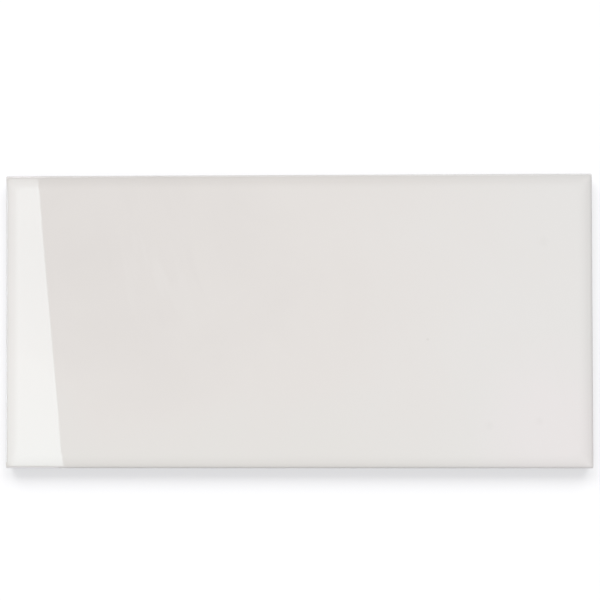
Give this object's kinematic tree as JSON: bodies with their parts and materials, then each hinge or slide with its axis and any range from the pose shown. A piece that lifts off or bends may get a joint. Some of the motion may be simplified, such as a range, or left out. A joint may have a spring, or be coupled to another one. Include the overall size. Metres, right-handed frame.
{
  "type": "glazed ceramic wall tile",
  "caption": "Flat rectangular ceramic wall tile, twice as long as wide, with a gloss marble-look glaze, softly cushioned edges and a keyed back.",
  "frame": {"origin": "under the middle of the tile, on the plane that its back rests on", "axes": "+X along the tile's length, +Y across its width, +Z out of the glazed face; the tile lies flat, face up"},
  "size_m": [0.2, 0.1, 0.007],
  "materials": {
    "glazed_ceramic": "gloss glaze on the face, bare matt ceramic on the back"
  },
  "bodies": {
    "root": {"tile": "glazed_ceramic"}
  },
  "joints": []
}
